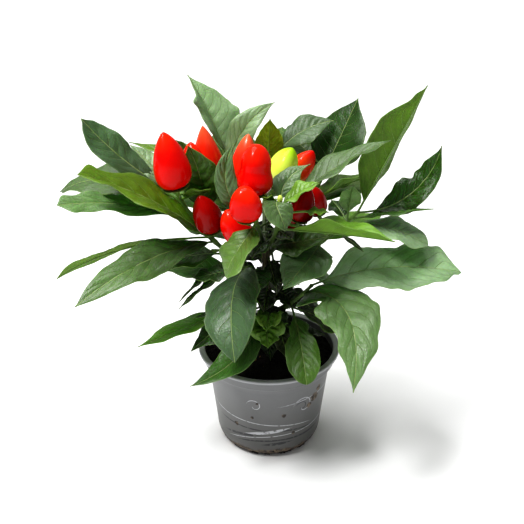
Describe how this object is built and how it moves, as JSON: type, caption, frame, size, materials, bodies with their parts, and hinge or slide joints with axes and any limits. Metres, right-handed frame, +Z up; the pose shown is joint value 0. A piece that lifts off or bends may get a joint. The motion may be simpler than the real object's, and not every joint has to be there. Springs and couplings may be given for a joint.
{
  "type": "potted chilli pepper plant",
  "caption": "Small ornamental chilli pepper plant with upright red fruit and pointed green leaves, growing from compost in a tapered round grower's pot with a flat lip.",
  "frame": {"origin": "centre of the pot's flat base, where it rests", "axes": "+Z up along the pot's axis, -Y towards the front of the plant, where its fruit shows best, +X to the right seen from the front"},
  "size_m": [0.3236, 0.2239, 0.3022],
  "materials": {
    "pot": "satin",
    "compost": "matte",
    "bark": "matte",
    "foliage": "satin",
    "pepper_red": "gloss",
    "pepper_dark": "gloss",
    "pepper_lime": "gloss"
  },
  "bodies": {
    "root": {"pot": "pot", "compost": "compost", "trunk": "bark", "shoot_left": "foliage", "shoot_back_left": "foliage", "shoot_front": "foliage", "shoot_back": "foliage", "shoot_back_right": "foliage", "shoot_right_front": "foliage", "shoot_right": "foliage", "shoot_low_left": "foliage", "shoot_low_right": "foliage", "shoot_low_back_left": "foliage", "shoot_low_back_right": "foliage", "pepper_left_1": "pepper_red", "pepper_left_2": "pepper_red", "pepper_left_3": "pepper_dark", "pepper_back_left_1": "pepper_red", "pepper_back_left_2": "pepper_red", "pepper_front_1": "pepper_red", "pepper_front_2": "pepper_red", "pepper_front_3": "pepper_red", "pepper_front_4": "pepper_red", "pepper_back_1": "pepper_lime", "pepper_back_2": "pepper_red", "pepper_back_right_1": "pepper_red", "pepper_back_right_2": "pepper_red", "pepper_right_front_1": "pepper_dark", "pepper_right_front_2": "pepper_dark", "pepper_right_1": "pepper_red"}
  },
  "joints": []
}
